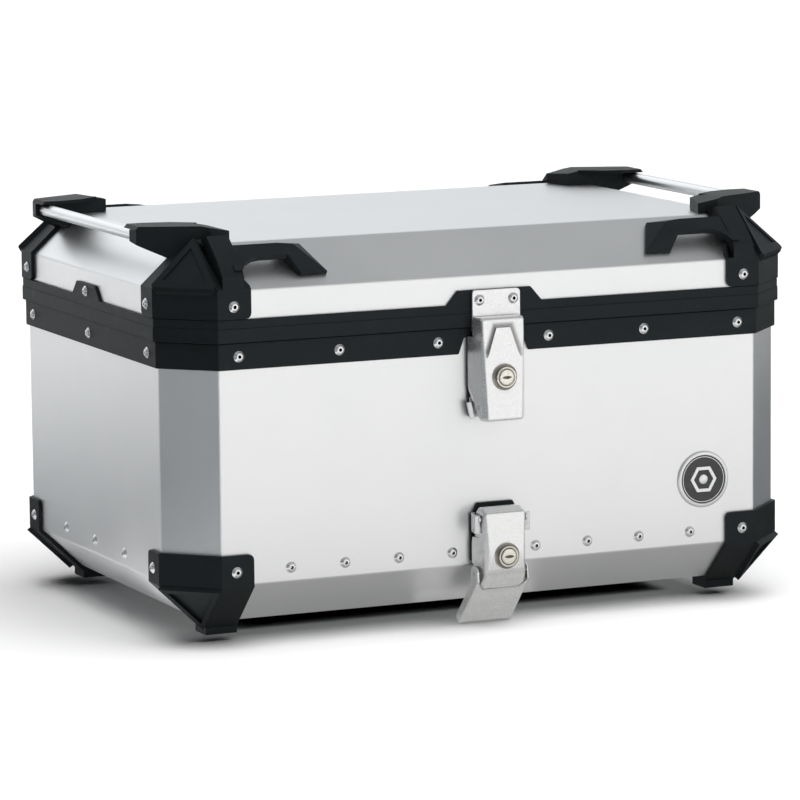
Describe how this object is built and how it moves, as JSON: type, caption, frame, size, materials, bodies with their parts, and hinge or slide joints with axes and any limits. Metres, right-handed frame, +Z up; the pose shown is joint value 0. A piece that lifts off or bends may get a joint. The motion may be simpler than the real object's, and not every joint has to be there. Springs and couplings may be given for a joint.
{
  "type": "motorcycle top case",
  "caption": "Riveted aluminium motorcycle top case with moulded corner caps, carry rails, a rear-hinged lid and two locking latches.",
  "frame": {"origin": "centre of the flat underside of the body", "axes": "+X along the width, -Y towards the latches (the case's front in the picture), +Z up"},
  "size_m": [0.5746, 0.4271, 0.3416],
  "materials": {
    "satin_aluminium": "satin anodised",
    "rail_aluminium": "satin",
    "rivet_aluminium": "bright",
    "black_plastic": "fine moulded grain",
    "die_cast_zinc": "satin die-cast alloy",
    "nickel_plate": "nickel plated",
    "zinc_plated_steel": "zinc plated",
    "seal_rubber": "matt",
    "badge_enamel": "satin"
  },
  "bodies": {
    "case": {"badge": "badge_enamel", "body_collar": "black_plastic", "body_shell": "satin_aluminium", "hinge_leaf_case_left": "zinc_plated_steel", "hinge_leaf_case_right": "zinc_plated_steel", "hinge_pin_left": "zinc_plated_steel", "hinge_pin_right": "zinc_plated_steel", "locating_bracket_left": "zinc_plated_steel", "locating_bracket_right": "zinc_plated_steel", "lower_corner_front_left": "black_plastic", "lower_corner_front_right": "black_plastic", "lower_corner_rear_left": "black_plastic", "lower_corner_rear_right": "black_plastic", "lower_latch_bracket": "zinc_plated_steel", "lower_latch_pad": "black_plastic", "lower_latch_pin": "zinc_plated_steel", "rivet_lower_front_left_front": "rivet_aluminium", "rivet_lower_front_left_side": "rivet_aluminium", "rivet_lower_front_right_front": "rivet_aluminium", "rivet_lower_front_right_side": "rivet_aluminium", "rivet_lower_rear_left_front": "rivet_aluminium", "rivet_lower_rear_left_side": "rivet_aluminium", "rivet_lower_rear_right_front": "rivet_aluminium", "rivet_lower_rear_right_side": "rivet_aluminium", "upper_latch_bracket": "zinc_plated_steel", "upper_latch_pad": "black_plastic", "upper_latch_pin": "zinc_plated_steel"},
    "lid": {"hinge_leaf_lid_left": "zinc_plated_steel", "hinge_leaf_lid_right": "zinc_plated_steel", "lid_collar": "black_plastic", "lid_corner_front_left": "black_plastic", "lid_corner_front_right": "black_plastic", "lid_corner_rear_left": "black_plastic", "lid_corner_rear_right": "black_plastic", "lid_gasket": "seal_rubber", "lid_shell": "satin_aluminium", "rail_left": "rail_aluminium", "rail_right": "rail_aluminium", "rivet_lid_front_left_front": "rivet_aluminium", "rivet_lid_front_left_side": "rivet_aluminium", "rivet_lid_front_right_front": "rivet_aluminium", "rivet_lid_front_right_side": "rivet_aluminium", "rivet_lid_rear_left_front": "rivet_aluminium", "rivet_lid_rear_left_side": "rivet_aluminium", "rivet_lid_rear_right_front": "rivet_aluminium", "rivet_lid_rear_right_side": "rivet_aluminium", "rivet_striker_left": "rivet_aluminium", "rivet_striker_right": "rivet_aluminium", "striker_plate": "die_cast_zinc"},
    "lid_latch": {"upper_lever": "die_cast_zinc", "upper_lock_barrel": "nickel_plate", "claw_pin": "zinc_plated_steel"},
    "lid_lock_plug": {"upper_lock_plug": "nickel_plate"},
    "latch_claw": {"claw": "zinc_plated_steel"},
    "release_latch": {"lower_lever": "die_cast_zinc", "lower_lock_barrel": "nickel_plate", "hook_pin": "zinc_plated_steel"},
    "release_lock_plug": {"lower_lock_plug": "nickel_plate"},
    "carrier_hook": {"release_hook": "die_cast_zinc"}
  },
  "joints": [
    {"name": "lid_hinge", "type": "hinge", "parent": "case", "child": "lid", "pos_m": [0, 0.2026, 0.23435], "axis": [-1, 0, 0], "range_deg": [0, 95]},
    {"name": "lid_latch_pivot", "type": "hinge", "parent": "case", "child": "lid_latch", "pos_m": [0, -0.2085, 0.169], "axis": [1, 0, 0], "range_deg": [0, 75]},
    {"name": "lid_lock_turn", "type": "hinge", "parent": "lid_latch", "child": "lid_lock_plug", "pos_m": [0, -0.2147, 0.1945], "axis": [0, -1, 0], "range_deg": [0, 90]},
    {"name": "claw_pivot", "type": "hinge", "parent": "lid_latch", "child": "latch_claw", "pos_m": [0, -0.2045, 0.213], "axis": [1, 0, 0], "range_deg": [0, 8], "stiffness_Nm_per_rad": 0.02, "springref_deg": -20.05},
    {"name": "release_latch_pivot", "type": "hinge", "parent": "case", "child": "release_latch", "pos_m": [0, -0.2073, 0.076], "axis": [-1, 0, 0], "range_deg": [0, 80]},
    {"name": "release_lock_turn", "type": "hinge", "parent": "release_latch", "child": "release_lock_plug", "pos_m": [0, -0.2167, 0.046], "axis": [0, -1, 0], "range_deg": [0, 90]},
    {"name": "hook_pivot", "type": "hinge", "parent": "release_latch", "child": "carrier_hook", "pos_m": [0, -0.204, 0.0305], "axis": [-1, 0, 0], "range_deg": [0, 60]}
  ]
}
